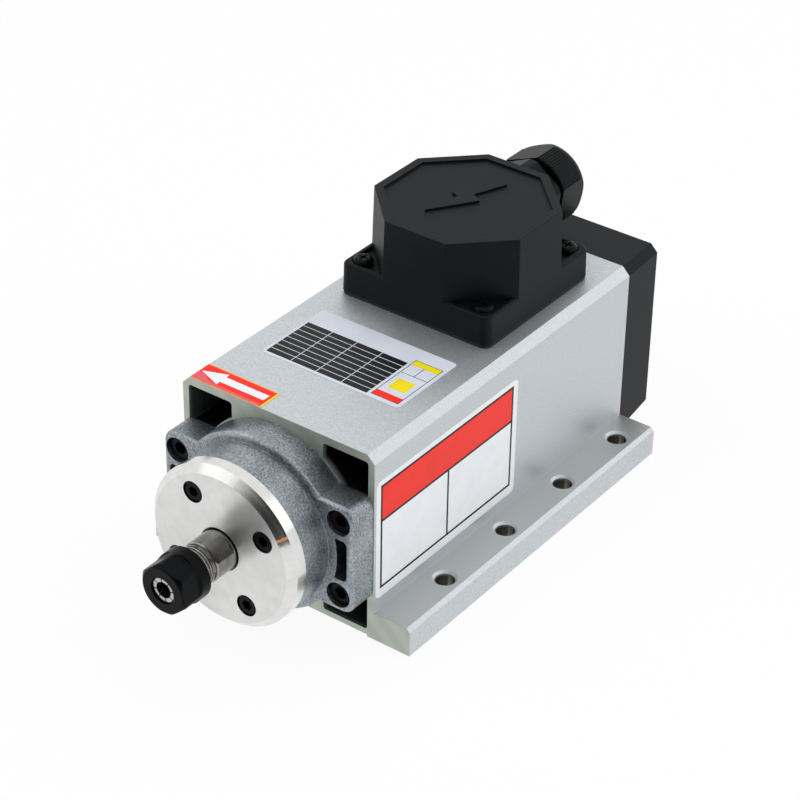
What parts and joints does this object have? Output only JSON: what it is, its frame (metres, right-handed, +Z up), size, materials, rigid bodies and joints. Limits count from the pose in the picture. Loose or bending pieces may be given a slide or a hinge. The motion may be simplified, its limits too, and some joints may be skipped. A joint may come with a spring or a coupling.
{
  "type": "router spindle motor",
  "caption": "Square air-cooled spindle motor on a drilled foot, with a collet nut on its nose, a terminal box with a cable gland and a fan cover.",
  "frame": {"origin": "middle of the foot holes, on the mounting face", "axes": "+Z up from the mounting face, +Y along the shaft from the collet nose to the fan cover, +X across the foot"},
  "size_m": [0.11, 0.2299, 0.1074],
  "materials": {
    "anodised_aluminium": "fine satin anodised extrusion",
    "cast_aluminium": "blasted casting",
    "turned_aluminium": "fine turned",
    "shaft_steel": "ground steel",
    "bearing_steel": "polished",
    "lamination_steel": "stacked sheets",
    "copper": "enamelled wire",
    "black_oxide_steel": "black oxide",
    "black_screw_steel": "black oxide",
    "collet_steel": "ground spring steel",
    "spring_steel": "phosphated",
    "brass": "plain",
    "black_plastic": "fine matt moulded",
    "black_nylon": "satin moulded",
    "terminal_plastic": "moulded",
    "cage_plastic": "moulded",
    "black_rubber": "soft",
    "lead_insulation": "insulated lead",
    "label_film": "printed film"
  },
  "bodies": {
    "housing": {"housing_extrusion": "anodised_aluminium", "front_bearing_housing": "cast_aluminium", "bearing_housing_screws": "black_screw_steel", "front_cap": "turned_aluminium", "front_cap_screws": "black_screw_steel", "front_bearing_a_outer_ring": "bearing_steel", "front_bearing_b_outer_ring": "bearing_steel", "rear_bearing_outer_ring": "bearing_steel", "bearing_spacer_outer": "bearing_steel", "stator_core": "lamination_steel", "stator_windings": "copper", "rear_bearing_plate": "cast_aluminium", "preload_spring": "bearing_steel", "rear_cap": "black_plastic", "rear_cap_screws": "black_screw_steel", "terminal_box": "black_plastic", "terminal_box_gasket": "black_rubber", "terminal_box_screws": "black_screw_steel", "terminal_block": "terminal_plastic", "terminal_screws": "brass", "earth_screw": "brass", "motor_leads": "lead_insulation", "gland_body": "black_nylon", "gland_locknut": "black_nylon", "gland_seal": "black_rubber"},
    "spindle": {"spindle_shaft": "shaft_steel", "rotor_core": "lamination_steel", "rotor_end_rings": "cast_aluminium", "front_bearing_a_inner_ring": "bearing_steel", "front_bearing_b_inner_ring": "bearing_steel", "rear_bearing_inner_ring": "bearing_steel", "front_bearing_a_balls": "bearing_steel", "front_bearing_b_balls": "bearing_steel", "rear_bearing_balls": "bearing_steel", "front_bearing_a_cage": "cage_plastic", "front_bearing_b_cage": "cage_plastic", "rear_bearing_cage": "cage_plastic", "bearing_spacer_inner": "bearing_steel", "dust_collar": "shaft_steel", "cooling_fan": "black_plastic", "fan_circlip": "spring_steel"},
    "collet": {"collet": "collet_steel"},
    "collet_nut": {"collet_nut": "black_oxide_steel"},
    "gland_slip_ring": {"gland_slip_ring": "black_nylon"},
    "gland_dome_nut": {"gland_dome_nut": "black_nylon"}
  },
  "joints": [
    {"name": "spindle_spin", "type": "hinge", "parent": "housing", "child": "spindle", "pos_m": [0, 0, 0.0365], "axis": [0, -1, 0], "continuous": true},
    {"name": "collet_travel", "type": "slide", "parent": "spindle", "child": "collet", "axis": [0, -1, 0], "range_m": [0, 0.00152]},
    {"name": "collet_nut_turn", "type": "hinge", "parent": "collet", "child": "collet_nut", "pos_m": [0, -0.132, 0.0365], "axis": [0, -1, 0], "range_deg": [0, 720]},
    {"name": "slip_ring_travel", "type": "slide", "parent": "housing", "child": "gland_slip_ring", "axis": [0, 1, 0], "range_m": [0, 0.00302]},
    {"name": "dome_nut_turn", "type": "hinge", "parent": "gland_slip_ring", "child": "gland_dome_nut", "pos_m": [0, 0.07, 0.0924], "axis": [0, 1, 0], "range_deg": [0, 720]}
  ],
  "couplings": [
    {"joint": "collet_travel", "follows": "collet_nut_turn", "m_per_rad": 0.00011937},
    {"joint": "slip_ring_travel", "follows": "dome_nut_turn", "m_per_rad": 0.00023873}
  ]
}
